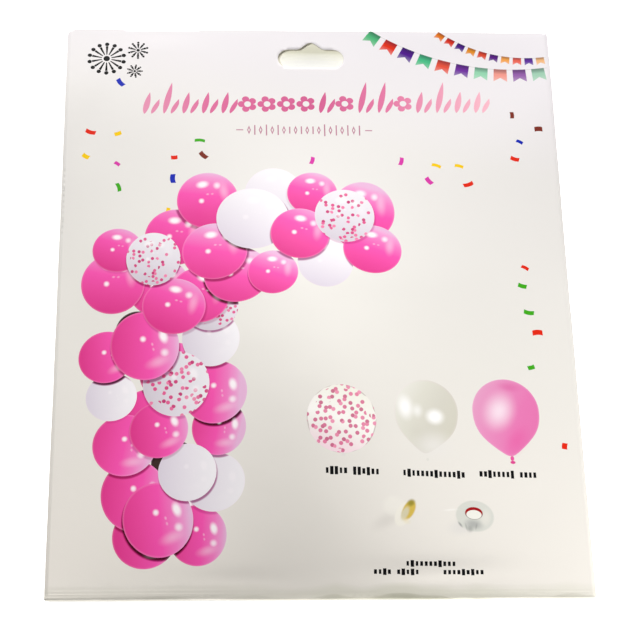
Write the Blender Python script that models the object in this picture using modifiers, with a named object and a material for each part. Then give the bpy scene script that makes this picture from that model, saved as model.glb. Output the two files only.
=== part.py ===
"""A flat retail packet made to hang on a peg: one wallet of printed card, sealed and filled,
with a two-ply header that has a hang slot cut through it.

Units are metres. The packet lies on its back: +Z comes out of its printed front, +Y runs
towards the header and +X to the right of the print. The origin is under the middle of the
packet, on the surface that it lies on.
"""

import math

import bmesh
import bpy

# Outline of the wallet, seen from the front
PACK_WIDTH = 0.250
PACK_HEIGHT = 0.310
CORNER_RADIUS = 0.0010
WORN_CORNER_RADIUS = 0.0036

# Header: front and back card pressed together above the filled pocket
HEADER_DEPTH = 0.030
HEADER_THICK = 0.0012
HEADER_LIFT = 0.0050

# Folded edges, and how full the pocket is
FOLD_THICK = 0.0018
FOLD_LIFT = 0.0020
FULL_HEIGHT = 0.0160
BOTTOM_SLOPE = 0.100
TOP_SLOPE = 0.124
SIDE_ROUNDNESS = 1.73
BOTTOM_ROUNDNESS = 5.0

# The contents have settled below the middle, and make this share of the fullness there
SETTLED_SHARE = 0.62
SETTLED_PLACE = -0.057
SETTLED_HALF_WIDTH = 0.052
SETTLED_HALF_HEIGHT = 0.082

# The back lies flat inside this margin, and lifts to the header over this slope
REST_MARGIN = 0.030
BACK_SLOPE = 0.100

# Hang slot: a long slot with round ends and a hump over its middle
SLOT_WIDTH = 0.0338
SLOT_DEPTH = 0.0110
SLOT_OFFSET = 0.0005
SLOT_BELOW_TOP = 0.0176
HUMP_WIDTH = 0.0150
HUMP_RISE = 0.0043

# How finely the faceted solid follows the shape
COLUMNS = 32
ROWS = 40
ARC_STEPS = 10
HUMP_STEPS = 14
FOLD_ROUNDING = 0.0005


def clear_scene():
    """Empties the open file, so that the script can run again from the text editor."""
    for item in list(bpy.data.objects):
        bpy.data.objects.remove(item)


def new_collection(name):
    """Returns a fresh collection linked to the scene."""
    collection = bpy.data.collections.new(name)
    bpy.context.scene.collection.children.link(collection)
    return collection


def card_material():
    """Pearl-white coated card with a soft gloss."""
    material = bpy.data.materials.new("printed_card")
    material.use_nodes = True
    surface = material.node_tree.nodes["Principled BSDF"]
    surface.inputs["Base Color"].default_value = (0.86, 0.83, 0.79, 1.0)
    surface.inputs["Roughness"].default_value = 0.32
    surface.inputs["Metallic"].default_value = 0.0
    return material


def smooth_step(value):
    """Goes from 0 to 1 as value does, level at both ends."""
    value = min(max(value, 0.0), 1.0)
    return value * value * (3.0 - 2.0 * value)


def header_share(y):
    """0 in the pocket, 1 on the header, and between them over the top slope."""
    slope_start = PACK_HEIGHT / 2 - HEADER_DEPTH - TOP_SLOPE
    return smooth_step((y - slope_start) / TOP_SLOPE)


def fullness(x, y):
    """How far the front is pushed up by what is inside: 0 at the folds and header, 1 at most."""
    across = 1.0 - abs(2.0 * x / PACK_WIDTH) ** SIDE_ROUNDNESS
    from_bottom = min((y + PACK_HEIGHT / 2) / BOTTOM_SLOPE, 1.0)
    up = 1.0 - (1.0 - from_bottom) ** BOTTOM_ROUNDNESS
    aside = x / SETTLED_HALF_WIDTH
    above = (y - SETTLED_PLACE) / SETTLED_HALF_HEIGHT
    settled = math.exp(-aside * aside - above * above)
    spread = 1.0 - SETTLED_SHARE + SETTLED_SHARE * settled
    return across * up * spread * (1.0 - header_share(y))


def front_height(x, y):
    """Height of the printed front above the surface that the packet lies on."""
    fold_top = FOLD_LIFT + FOLD_THICK
    header_top = HEADER_LIFT + HEADER_THICK
    rim = fold_top + (header_top - fold_top) * header_share(y)
    return rim + (FULL_HEIGHT - fold_top) * fullness(x, y)


def back_height(x, y):
    """Height of the back: flat on the surface in the middle, lifting to the folds and header."""
    from_side = (PACK_WIDTH / 2 - abs(x)) / REST_MARGIN
    from_bottom = (y + PACK_HEIGHT / 2) / REST_MARGIN
    lift = FOLD_LIFT * (1.0 - smooth_step(min(from_side, from_bottom)))
    slope_start = PACK_HEIGHT / 2 - HEADER_DEPTH - BACK_SLOPE
    return lift + (HEADER_LIFT - lift) * smooth_step((y - slope_start) / BACK_SLOPE)


def card_wallet(material, collection):
    """The whole wallet as one closed solid: a slab shaped by the two height functions."""
    bm = bmesh.new()
    bmesh.ops.create_grid(bm, x_segments=COLUMNS, y_segments=ROWS, size=0.5)
    bmesh.ops.scale(bm, vec=(PACK_WIDTH, PACK_HEIGHT, 1.0), verts=bm.verts)
    back = list(bm.verts)
    raised = bmesh.ops.extrude_face_region(bm, geom=list(bm.faces))
    front = [item for item in raised["geom"] if isinstance(item, bmesh.types.BMVert)]
    for vert in back:
        vert.co.z = back_height(vert.co.x, vert.co.y)
    for vert in front:
        vert.co.z = front_height(vert.co.x, vert.co.y)
    round_corners(bm)
    bmesh.ops.recalc_face_normals(bm, faces=bm.faces)
    mesh = bpy.data.meshes.new("card_wallet")
    bm.to_mesh(mesh)
    bm.free()
    mesh.materials.append(material)
    wallet = bpy.data.objects.new("card_wallet", mesh)
    collection.objects.link(wallet)
    return wallet


def round_corners(bm):
    """Rounds the four upright corner edges, the worn one at the top left the most."""
    half_width = PACK_WIDTH / 2
    half_height = PACK_HEIGHT / 2
    for side_x in (-1, 1):
        for side_y in (-1, 1):
            worn = side_x < 0 < side_y
            corner = [
                edge
                for edge in bm.edges
                if all(
                    abs(vert.co.x - side_x * half_width) < 1e-6
                    and abs(vert.co.y - side_y * half_height) < 1e-6
                    for vert in edge.verts
                )
            ]
            bmesh.ops.bevel(
                bm,
                geom=corner,
                offset=WORN_CORNER_RADIUS if worn else CORNER_RADIUS,
                segments=4 if worn else 2,
                affect="EDGES",
                profile=0.5,
            )


def slot_outline():
    """Points round the hang slot, anticlockwise, about the middle of its straight part."""
    end_radius = SLOT_DEPTH / 2
    end_centre = SLOT_WIDTH / 2 - end_radius
    right_end = []
    for step in range(ARC_STEPS + 1):
        angle = math.pi * (step / ARC_STEPS - 0.5)
        right_end.append((end_centre + end_radius * math.cos(angle), end_radius * math.sin(angle)))
    hump = []
    for step in range(HUMP_STEPS + 1):
        across = 1.0 - 2.0 * step / HUMP_STEPS
        rise = HUMP_RISE * (1.0 + math.cos(math.pi * across)) / 2
        hump.append((across * HUMP_WIDTH / 2, end_radius + rise))
    left_end = [(-x, -y) for x, y in right_end]
    return right_end + hump + left_end


def slot_cutter(collection):
    """The hang slot as a flat curve given thickness, then turned to a mesh to cut with."""
    curve = bpy.data.curves.new("slot_curve", "CURVE")
    curve.dimensions = "2D"
    curve.fill_mode = "BOTH"
    curve.extrude = HEADER_LIFT + HEADER_THICK
    spline = curve.splines.new("POLY")
    points = slot_outline()
    spline.points.add(len(points) - 1)
    for point, (x, y) in zip(spline.points, points):
        point.co = (x, y, 0.0, 1.0)
    spline.use_cyclic_u = True
    drawn = bpy.data.objects.new("slot_curve", curve)
    collection.objects.link(drawn)
    drawn.location = (SLOT_OFFSET, PACK_HEIGHT / 2 - SLOT_BELOW_TOP, HEADER_LIFT)
    bpy.context.view_layer.update()
    evaluated = drawn.evaluated_get(bpy.context.evaluated_depsgraph_get())
    mesh = bpy.data.meshes.new_from_object(evaluated)
    bm = bmesh.new()
    bm.from_mesh(mesh)
    bmesh.ops.remove_doubles(bm, verts=bm.verts, dist=0.00001)
    bmesh.ops.recalc_face_normals(bm, faces=bm.faces)
    bm.to_mesh(mesh)
    bm.free()
    cutter = bpy.data.objects.new("slot_cutter", mesh)
    cutter.matrix_world = drawn.matrix_world
    cutter.hide_render = True
    cutter.display_type = "WIRE"
    collection.objects.link(cutter)
    bpy.data.objects.remove(drawn)
    return cutter


def finish_wallet(wallet, cutter):
    """Rounds the folded edges a little and cuts the hang slot through both plies."""
    rounding = wallet.modifiers.new("fold_rounding", "BEVEL")
    rounding.width = FOLD_ROUNDING
    rounding.segments = 1
    rounding.limit_method = "ANGLE"
    rounding.angle_limit = math.radians(60)
    slot = wallet.modifiers.new("hang_slot", "BOOLEAN")
    slot.operation = "DIFFERENCE"
    slot.solver = "EXACT"
    slot.object = cutter


def build():
    clear_scene()
    packet = new_collection("retail_packet")
    cutters = new_collection("cutters")
    wallet = card_wallet(card_material(), packet)
    finish_wallet(wallet, slot_cutter(cutters))


build()
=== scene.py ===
import math
import random

import bpy
from mathutils import Matrix, Vector, noise
from mathutils.geometry import delaunay_2d_cdt


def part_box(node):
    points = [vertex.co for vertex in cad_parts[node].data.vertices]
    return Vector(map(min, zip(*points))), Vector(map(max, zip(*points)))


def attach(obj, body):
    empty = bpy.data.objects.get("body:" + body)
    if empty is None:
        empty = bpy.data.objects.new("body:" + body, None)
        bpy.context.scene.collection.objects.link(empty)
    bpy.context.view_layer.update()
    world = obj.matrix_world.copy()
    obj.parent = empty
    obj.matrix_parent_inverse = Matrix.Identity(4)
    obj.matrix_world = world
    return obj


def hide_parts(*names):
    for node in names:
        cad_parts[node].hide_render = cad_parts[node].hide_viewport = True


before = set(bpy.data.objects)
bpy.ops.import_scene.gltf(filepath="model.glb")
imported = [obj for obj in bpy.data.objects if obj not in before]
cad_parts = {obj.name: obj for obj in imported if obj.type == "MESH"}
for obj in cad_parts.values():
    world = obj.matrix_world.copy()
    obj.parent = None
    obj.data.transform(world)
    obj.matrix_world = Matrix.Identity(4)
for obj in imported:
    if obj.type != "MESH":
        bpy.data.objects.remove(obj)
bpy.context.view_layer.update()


# Card wallet
# One sheet of 300 g/m2 coated board, folded at both sides and the bottom, lapped and glued behind,
# and pressed together at the top into a two-ply header. The soft goods inside push its front up.
# Its sizes are in millimetres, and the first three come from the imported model.

MM = 0.001
cad_low, cad_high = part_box("card_wallet")
WIDTH = (cad_high.x - cad_low.x) / MM
HEIGHT = (cad_high.y - cad_low.y) / MM
FULL_HEIGHT = (cad_high.z - cad_low.z) / MM
CORNER_RADIUS = 1.0
WORN_CORNER_RADIUS = 3.6
HEADER_DEPTH = 30.0
HEADER_THICK = 1.2
HEADER_LIFT = 5.0
HEADER_WAVE = 0.55
HEADER_WAVE_LENGTH = 70.0
FOLD_THICK = 1.8
FOLD_LIFT = 2.0
BOTTOM_SLOPE = 100.0
TOP_SLOPE = 124.0
SIDE_ROUNDNESS = 1.73
BOTTOM_ROUNDNESS = 5.0
SETTLED_SHARE = 0.62
SETTLED_PLACE = -57.0
SETTLED_HALF_WIDTH = 52.0
SETTLED_HALF_HEIGHT = 82.0
REST_MARGIN = 30.0
BACK_SLOPE = 100.0


def smooth_step(value):
    """Goes from 0 to 1 as value does, level at both ends."""
    value = min(max(value, 0.0), 1.0)
    return value * value * (3.0 - 2.0 * value)


def ripple(x, y, length, layer):
    """Smooth random waves of about that length, between -1 and 1."""
    return noise.noise(Vector((x / length, y / length, layer)))


def header_share(y):
    """0 in the pocket, 1 on the header, and between them over the top slope."""
    slope_start = HEIGHT / 2 - HEADER_DEPTH - TOP_SLOPE
    return smooth_step((y - slope_start) / TOP_SLOPE)


def fullness(x, y):
    """How far the front is pushed up by what is inside: 0 at the folds and header, 1 at most."""
    across = max(1.0 - abs(2.0 * x / WIDTH) ** SIDE_ROUNDNESS, 0.0)
    from_bottom = min(max((y + HEIGHT / 2) / BOTTOM_SLOPE, 0.0), 1.0)
    up = 1.0 - (1.0 - from_bottom) ** BOTTOM_ROUNDNESS
    aside = x / SETTLED_HALF_WIDTH
    above = (y - SETTLED_PLACE) / SETTLED_HALF_HEIGHT
    settled = math.exp(-aside * aside - above * above)
    spread = 1.0 - SETTLED_SHARE + SETTLED_SHARE * settled
    return across * up * spread * (1.0 - header_share(y))


def depth_inside(x, y):
    """How far a point lies inside the packet's outline with its rounded corners."""
    radius = WORN_CORNER_RADIUS if x < 0 < y else CORNER_RADIUS
    past_x = abs(x) - (WIDTH / 2 - radius)
    past_y = abs(y) - (HEIGHT / 2 - radius)
    outside = math.hypot(max(past_x, 0.0), max(past_y, 0.0)) + min(max(past_x, past_y), 0.0)
    return radius - outside


def header_wave(x, y):
    """The free header waves a little, front and back together."""
    return HEADER_WAVE * ripple(x, y, HEADER_WAVE_LENGTH, 5.0) * header_share(y)


# Printed front panel
# The front half of the sheet. Scored before it was folded, so fine parallel lines run beside the
# bottom fold and a narrow band beside each side fold rolls away. Handling has dented it lightly.

ROLL_BAND = 1.9
ROLL_DROP = 0.42
SCORE_PLACES = (1.9, 3.1, 4.7)
SCORE_DEPTH = 0.13
SCORE_WIDTH = 0.34
FRONT_WAVES = (0.16, 0.07)
FRONT_WAVE_LENGTHS = (52.0, 17.0)
CALM_MARGIN = 14.0
DENTS = (
    # middle x, middle y, half length, half width, turn in degrees, depth
    (46.0, -142.5, 34.0, 4.5, 2.0, 0.62),
    (-30.0, -146.0, 26.0, 3.5, -2.0, 0.22),
    (98.0, -128.0, 20.0, 6.0, 62.0, 0.20),
    (-112.0, 96.0, 18.0, 7.0, 80.0, 0.18),
)


def roll_away(x, y):
    """Drop of the narrow band beside each folded edge."""
    from_side = max(WIDTH / 2 - abs(x), 0.0)
    from_bottom = max(y + HEIGHT / 2, 0.0)
    side_drop = ROLL_DROP * max(1.0 - from_side / ROLL_BAND, 0.0) ** 1.6
    bottom_drop = 0.25 * ROLL_DROP * max(1.0 - from_bottom / ROLL_BAND, 0.0) ** 1.6
    return max(side_drop, bottom_drop)


def handling_marks(x, y):
    """Score lines and soft dents, as a depth."""
    from_bottom = y + HEIGHT / 2
    depth = 0.0
    if from_bottom < 8.0:
        for place in SCORE_PLACES:
            wander = 0.25 * ripple(x, place, 60.0, 11.0)
            strength = 0.65 + 0.7 * ripple(x, place * 9.0, 45.0, 13.0)
            away = (from_bottom - place - wander) / SCORE_WIDTH
            depth += SCORE_DEPTH * strength * math.exp(-away * away)
    for middle_x, middle_y, half_length, half_width, turn, deepest in DENTS:
        cos_turn = math.cos(math.radians(turn))
        sin_turn = math.sin(math.radians(turn))
        along = ((x - middle_x) * cos_turn + (y - middle_y) * sin_turn) / half_length
        beside = ((y - middle_y) * cos_turn - (x - middle_x) * sin_turn) / half_width
        depth += deepest * math.exp(-along * along - beside * beside)
    return depth * smooth_step(from_bottom / 1.4)


def front_height(x, y):
    """Height of the printed front above the surface that the packet lies on."""
    fold_top = FOLD_LIFT + FOLD_THICK
    header_top = HEADER_LIFT + HEADER_THICK
    rim = fold_top + (header_top - fold_top) * header_share(y)
    height = rim + (FULL_HEIGHT - fold_top) * fullness(x, y)
    waves = FRONT_WAVES[0] * ripple(x, y, FRONT_WAVE_LENGTHS[0], 1.0)
    waves += FRONT_WAVES[1] * ripple(x, y, FRONT_WAVE_LENGTHS[1], 2.0) * fullness(x, y)
    calm = smooth_step(depth_inside(x, y) / CALM_MARGIN)
    return height + waves * calm - roll_away(x, y) - handling_marks(x, y) + header_wave(x, y)


# Back panel
# The sides of the same sheet, lapped along the back and glued, with a bottom flap folded up and
# glued over them. Each edge stands one ply of board proud of what it lies on.

PLY = 0.38
LAP_PLACE = 14.0
FLAP_DEPTH = 27.0
FLAP_INSET = 5.0
STEP_WIDTH = 0.14
STEP_CALM_MARGIN = 2.5
BACK_WAVE = 0.10
BACK_WAVE_LENGTH = 44.0


def back_height(x, y):
    """Height of the back: flat in the middle, lifting to the folds and the header."""
    from_side = WIDTH / 2 - abs(x)
    from_bottom = y + HEIGHT / 2
    lift = FOLD_LIFT * (1.0 - smooth_step(min(from_side, from_bottom) / REST_MARGIN))
    slope_start = HEIGHT / 2 - HEADER_DEPTH - BACK_SLOPE
    lift += (HEADER_LIFT - lift) * smooth_step((y - slope_start) / BACK_SLOPE)
    off_flap = smooth_step((from_bottom - FLAP_DEPTH) / STEP_WIDTH + 0.5)
    off_flap = max(off_flap, smooth_step((FLAP_INSET - from_side) / STEP_WIDTH + 0.5))
    beyond_lap = smooth_step((x - LAP_PLACE) / STEP_WIDTH + 0.5)
    recess = PLY * (off_flap + beyond_lap * off_flap)
    step_calm = smooth_step(depth_inside(x, y) / STEP_CALM_MARGIN)
    waves = BACK_WAVE * (1.0 + ripple(x, y, BACK_WAVE_LENGTH, 21.0))
    calm = smooth_step(depth_inside(x, y) / CALM_MARGIN)
    return lift + recess * step_calm + waves * calm + header_wave(x, y)


# Hang slot
# A long slot with round ends and a hump over its middle, punched through both plies of the header
# for a shop peg. The back ply slipped a little after punching, so a sliver of it shows at the left.

SLOT_WIDTH = 33.8
SLOT_DEPTH = 11.0
SLOT_MIDDLE = (0.5, HEIGHT / 2 - 17.6)
HUMP_WIDTH = 15.0
HUMP_RISE = 4.3
BACK_PLY_SLIP = (1.3, -0.4)
SLOT_PITCH = 0.55


def arc(middle_x, middle_y, radius, start, end, steps):
    """Points along an arc between two angles in degrees."""
    angles = [math.radians(start + (end - start) * step / steps) for step in range(steps + 1)]
    return [(middle_x + radius * math.cos(a), middle_y + radius * math.sin(a)) for a in angles]


def straight(start, end, pitch):
    """Points between two others, evenly about a pitch apart."""
    count = round(math.dist(start, end) / pitch)
    return [tuple(a + (b - a) * n / count for a, b in zip(start, end)) for n in range(1, count)]


def slot_outline():
    """Points round the slot, anticlockwise from the right end of its lower side."""
    radius = SLOT_DEPTH / 2
    reach = SLOT_WIDTH / 2 - radius
    arc_steps = round(math.pi * radius / SLOT_PITCH)
    hump_steps = round(HUMP_WIDTH / SLOT_PITCH)
    hump = []
    for step in range(hump_steps + 1):
        across = 1.0 - 2.0 * step / hump_steps
        rise = HUMP_RISE * (1.0 + math.cos(math.pi * across)) / 2
        hump.append((across * HUMP_WIDTH / 2, radius + rise))
    points = arc(reach, 0.0, radius, -90, 90, arc_steps)
    points += straight((reach, radius), hump[0], SLOT_PITCH) + hump
    points += straight(hump[-1], (-reach, radius), SLOT_PITCH)
    points += arc(-reach, 0.0, radius, 90, 270, arc_steps)
    points += straight((-reach, -radius), (reach, -radius), SLOT_PITCH)
    return [(x + SLOT_MIDDLE[0], y + SLOT_MIDDLE[1]) for x, y in points]


def near_slot(x, y, margin):
    """Whether a point is in the slot or closer to it than the margin."""
    x -= SLOT_MIDDLE[0]
    y -= SLOT_MIDDLE[1]
    end_middle = SLOT_WIDTH / 2 - SLOT_DEPTH / 2
    in_long_part = math.hypot(max(abs(x) - end_middle, 0.0), y) < SLOT_DEPTH / 2 + margin
    share = min(max(abs(x) - margin, 0.0) / (HUMP_WIDTH / 2), 1.0)
    hump_top = SLOT_DEPTH / 2 + HUMP_RISE * (1.0 + math.cos(math.pi * share)) / 2
    in_hump = abs(x) < HUMP_WIDTH / 2 + margin and 0.0 < y < hump_top + margin
    return in_long_part or in_hump


# Folded edges and cut edges
# Sides and bottom are folds, rolled round the thickness of two plies. The header's top and the
# slot are cut, so two plies show there with the glue line sunk between them.

EDGE_PITCH = 1.1
CORNER_STEPS = 8
EDGE_STEPS = 8
CUT_PROFILE = (
    # inset, share of half the thickness
    (0.12, 1.0),
    (0.0, 0.84),
    (0.0, 0.2),
    (0.28, 0.06),
    (0.3, 0.0),
    (0.28, -0.06),
    (0.16, -0.2),
    (0.16, -0.84),
    (0.28, -1.0),
)


def packet_outline():
    """Points round the packet, anticlockwise from the right end of the bottom edge."""
    corners = []
    for side_x, side_y, start in ((1, -1, -90), (1, 1, 0), (-1, 1, 90), (-1, -1, 180)):
        radius = WORN_CORNER_RADIUS if side_x < 0 < side_y else CORNER_RADIUS
        middle_x = side_x * (WIDTH / 2 - radius)
        middle_y = side_y * (HEIGHT / 2 - radius)
        corners.append(arc(middle_x, middle_y, radius, start, start + 90, CORNER_STEPS))
    points = []
    for corner, following in zip(corners, corners[1:] + corners[:1]):
        points += corner + straight(corner[-1], following[0], EDGE_PITCH)
    return points


def outward(points):
    """The unit direction out of a closed anticlockwise outline at each of its points."""
    directions = []
    for before, after in zip(points[-1:] + points[:-1], points[1:] + points[:1]):
        along = (Vector(after) - Vector(before)).normalized()
        directions.append((along.y, -along.x))
    return directions


def edge_loops(points, out_of_card, cut_share, slip=(0.0, 0.0)):
    """Loops of points from the front sheet's edge round to the back sheet's edge."""
    loops = [[] for _ in range(EDGE_STEPS + 1)]
    for (x, y), (out_x, out_y) in zip(points, out_of_card):
        top = front_height(x, y)
        bottom = back_height(x, y)
        middle = (top + bottom) / 2
        half = (top - bottom) / 2
        share = cut_share(x, y)
        worn = (1.0 - share) * (0.20 * ripple(x, y, 38.0, 31.0) + 0.06 * ripple(x, y, 7.0, 32.0))
        worn += share * (0.28 * ripple(x, y, 30.0, 33.0))
        if slip != (0.0, 0.0):
            worn = 0.0
        for step, (cut_inset, cut_level) in enumerate(CUT_PROFILE):
            angle = math.pi * (0.5 - step / EDGE_STEPS)
            inset = share * cut_inset + (1.0 - share) * half * (1.0 - math.cos(angle))
            level = share * cut_level + (1.0 - share) * math.sin(angle)
            slipped = smooth_step((step - 3) / 2)
            reach = worn - inset
            edge_x = x + out_x * reach + slip[0] * slipped
            edge_y = y + out_y * reach + slip[1] * slipped
            loops[step].append((edge_x, edge_y, middle + half * level))
    return loops


outline = packet_outline()
packet_loops = edge_loops(outline, outward(outline), lambda x, y: smooth_step((y - HEIGHT / 2 + 2.2) / 2.2))
slot_points = slot_outline()
slot_loops = edge_loops(
    slot_points,
    [(-out_x, -out_y) for out_x, out_y in outward(slot_points)],
    lambda x, y: 1.0,
    BACK_PLY_SLIP,
)


# The wallet as one closed mesh
# Both sheets are fine grids of points, closer together beside the folds, joined to the edge loops.
# Its map lays the front out flat over most of the picture, with the back and edges beside it.

SHEET_INSET = 1.25
SLOT_MARGIN = 0.55
STEP_MARGIN = 0.35


def grid_lines(span, fine, coarse, reach):
    """Places of grid lines, close together near both ends and wide apart in the middle."""
    end = span / 2
    places = [fine - end]
    while places[-1] < end - fine:
        near = end - abs(places[-1])
        places.append(places[-1] + fine + (coarse - fine) * smooth_step(near / reach))
    return places


def beside_steps(lines, places):
    """Clears grid lines from each ply step, and sets one on either side of it."""
    for place in places:
        lines = [line for line in lines if abs(line - place) > STEP_MARGIN]
        lines += [place - STEP_WIDTH / 2, place + STEP_WIDTH / 2]
    return lines


def sheet_points(columns, rows, slot_shift):
    """Grid points that lie inside the packet's outline and clear of the slot."""
    return [
        (x, y)
        for y in rows
        for x in columns
        if depth_inside(x, y) > SHEET_INSET
        and not near_slot(x - slot_shift[0], y - slot_shift[1], SLOT_MARGIN)
    ]


def triangles(points, loops):
    """Triangles over a sheet: its inner points first, then the closed loops round it and its slot.

    A triangle that spans the slot joins three of its points in the order that they have round it.
    """
    flat = [Vector(point[:2]) for point in points]
    borders = []
    for loop in loops:
        first = len(flat)
        borders += [(first + n, first + (n + 1) % len(loop)) for n in range(len(loop))]
        flat += [Vector(point[:2]) for point in loop]
    inside_only = 1
    made = delaunay_2d_cdt(flat, borders, [], inside_only, 1e-6)
    sources = [source[0] for source in made[3]]
    slot_first = len(flat) - len(loops[-1])
    kept = []
    for face in made[2]:
        corners = [sources[corner] for corner in face]
        lowest = corners.index(min(corners))
        in_order = corners[lowest - 2] < corners[lowest - 1]
        if corners[lowest] < slot_first or not in_order:
            kept.append(corners)
    return kept


front_columns = grid_lines(WIDTH, 0.34, 1.6, 11.0)
front_rows = grid_lines(HEIGHT, 0.30, 1.6, 12.0)
front_points = sheet_points(front_columns, front_rows, (0.0, 0.0))
back_columns = grid_lines(WIDTH, 0.6, 3.2, 12.0)
back_rows = grid_lines(HEIGHT, 0.6, 3.2, 12.0)
back_columns = beside_steps(back_columns, (LAP_PLACE, FLAP_INSET - WIDTH / 2, WIDTH / 2 - FLAP_INSET))
back_rows = beside_steps(back_rows, (FLAP_DEPTH - HEIGHT / 2,))
back_points = sheet_points(back_columns, back_rows, BACK_PLY_SLIP)

MAP_GAP = 0.004
FRONT_MAP_WIDTH = 0.802
BACK_MAP_LEFT = 0.815
BACK_MAP_LOW = 0.77
STRIP_WIDTH = 0.028
STRIP_HEIGHT = 0.745

vertices = []
faces = []
face_maps = []
face_slots = []


def add_sheet(points, loops, height, facing_up, slot, left, low, width, tall):
    """Adds a sheet's points, and its triangles between them and its loops' numbered points."""
    numbers = list(range(len(vertices), len(vertices) + len(points)))
    vertices.extend((x, y, height(x, y)) for x, y in points)
    flat = list(points)
    for start, loop in loops:
        numbers += range(start, start + len(loop))
        flat += [point[:2] for point in loop]
    places = [(left + width * (x / WIDTH + 0.5), low + tall * (y / HEIGHT + 0.5)) for x, y in flat]
    for face in triangles(points, [loop for _, loop in loops]):
        corners = face if facing_up else face[::-1]
        faces.append([numbers[corner] for corner in corners])
        face_maps.append([places[corner] for corner in corners])
        face_slots.append(slot)


def add_edge(loops, inward, slot_at, strip, strips):
    """Adds an edge's loops and the narrow faces between them, and returns the loops' first numbers."""
    starts = []
    for loop in loops:
        starts.append(len(vertices))
        vertices.extend(loop)
    count = len(loops[0])
    per_strip = math.ceil(count / strips)
    for n in range(count):
        column = strip + n // per_strip
        low = MAP_GAP + STRIP_HEIGHT * (n % per_strip) / per_strip
        high = low + STRIP_HEIGHT / per_strip
        for step in range(EDGE_STEPS):
            left = BACK_MAP_LEFT + column * (STRIP_WIDTH + 2 * MAP_GAP)
            left += STRIP_WIDTH * step / EDGE_STEPS
            right = left + STRIP_WIDTH / EDGE_STEPS
            corners = [
                starts[step] + n,
                starts[step + 1] + n,
                starts[step + 1] + (n + 1) % count,
                starts[step] + (n + 1) % count,
            ]
            places = [(left, low), (right, low), (right, high), (left, high)]
            faces.append(corners[::-1] if inward else corners)
            face_maps.append(places[::-1] if inward else places)
            face_slots.append(slot_at(n))
    return starts


FRONT_SLOT, BACK_SLOT, CUT_SLOT = range(3)
packet_starts = add_edge(
    packet_loops, False, lambda n: CUT_SLOT if outline[n][1] > HEIGHT / 2 - 0.6 else FRONT_SLOT, 0, 3,
)
slot_starts = add_edge(slot_loops, True, lambda n: CUT_SLOT, 3, 1)
front_loops = ((packet_starts[0], packet_loops[0]), (slot_starts[0], slot_loops[0]))
back_loops = ((packet_starts[-1], packet_loops[-1]), (slot_starts[-1], slot_loops[-1]))
front_map = (MAP_GAP, MAP_GAP, FRONT_MAP_WIDTH, 1.0 - 2 * MAP_GAP)
back_map = (BACK_MAP_LEFT, BACK_MAP_LOW, 1.0 - MAP_GAP - BACK_MAP_LEFT, 1.0 - MAP_GAP - BACK_MAP_LOW)
add_sheet(front_points, front_loops, front_height, True, FRONT_SLOT, *front_map)
add_sheet(back_points, back_loops, back_height, False, BACK_SLOT, *back_map)

wallet_mesh = bpy.data.meshes.new("printed_wallet")
wallet_mesh.from_pydata([Vector(point) * MM for point in vertices], [], faces)
wallet_mesh.polygons.foreach_set("material_index", face_slots)
wallet_map = wallet_mesh.uv_layers.new(name="OFBake")
wallet_map.data.foreach_set("uv", [value for face in face_maps for place in face for value in place])
wallet_mesh.shade_smooth()
wallet_mesh.set_sharp_from_angle(angle=math.radians(38))
wallet_mesh.update()
wallet = bpy.data.objects.new("printed_wallet", wallet_mesh)
bpy.context.scene.collection.objects.link(wallet)
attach(wallet, "root")
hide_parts("card_wallet")


# Pearl-coated folding board, offset printed
# White board printed all over with a warm pearl tint, and with a picture over it: it gives the eye
# a soft, slightly glossy off-white. Lights in the picture are left open in the tint, so they are
# whiter than the ground round them.


def colour(code):
    """An sRGB hex colour as linear values."""
    parts = [int(code[place : place + 2], 16) / 255 for place in (1, 3, 5)]
    linear = [part / 12.92 if part <= 0.04045 else ((part + 0.055) / 1.055) ** 2.4 for part in parts]
    return (*linear, 1.0)


def add(kind, *inputs, named=None, stops=None, **settings):
    """Adds a node to the tree at hand. Its inputs are values, hex colours, nodes or sockets."""
    name, _, choice = kind.partition(" ")
    node = tree.nodes.new("ShaderNode" + name)
    if choice:
        setting = {"Mix": "data_type", "MapRange": "interpolation_type"}.get(name, "operation")
        setattr(node, setting, choice)
    for setting, value in settings.items():
        setattr(node, setting, value)
    in_use = [socket for socket in node.inputs if socket.enabled]
    pairs = list(zip(in_use, inputs))
    pairs += [(node.inputs[key], value) for key, value in (named or {}).items()]
    for socket, value in pairs:
        if isinstance(value, str):
            value = colour(value)
        if isinstance(value, bpy.types.Node):
            value = next(output for output in value.outputs if output.enabled)
        if isinstance(value, bpy.types.NodeSocket):
            tree.links.new(value, socket)
        else:
            socket.default_value = value
    if stops:
        for place in list(stops)[1:-1]:
            node.color_ramp.elements.new(place)
        for element, place in zip(node.color_ramp.elements, stops):
            element.position = place
            element.color = colour(stops[place])
    return node


def new_material(name):
    """An empty material with only its output node."""
    material = bpy.data.materials.new(name)
    material.use_nodes = True
    material.node_tree.nodes.clear()
    return material


def place_in_mm(depth=0.0):
    """The place on the object in millimetres, with no depth unless a share of it is wanted."""
    place = add("TexCoord").outputs["Object"]
    return add("VectorMath MULTIPLY", place, (1 / MM, 1 / MM, depth / MM))


BOARD_WHITE = "#FBFAF9"

board = new_material("pearl_board_printed")
tree = board.node_tree
here = place_in_mm()
across, upward, _ = add("SeparateXYZ", here).outputs

# Painted light: the ground tint is warm towards the bottom and turns cool on the header, for the
# warmer and cooler light that falls on each.
painted_light_coolness = add("VectorMath DOT_PRODUCT", here, (0.0007, 0.0031, 0.0))
painted_light_coolness = add("Math ADD", painted_light_coolness, 0.5)


# Printed bunting
# Two strings of swallow-tailed flags in offset inks, hanging in arcs from the header's right end.
# Each flag is dark where it is folded over the string and pales towards its tails.


def polar(place):
    """The angle and the distance of a place from zero."""
    x, y, _ = add("SeparateXYZ", place).outputs
    return add("Math ARCTAN2", y, x), add("VectorMath LENGTH", place)


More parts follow.
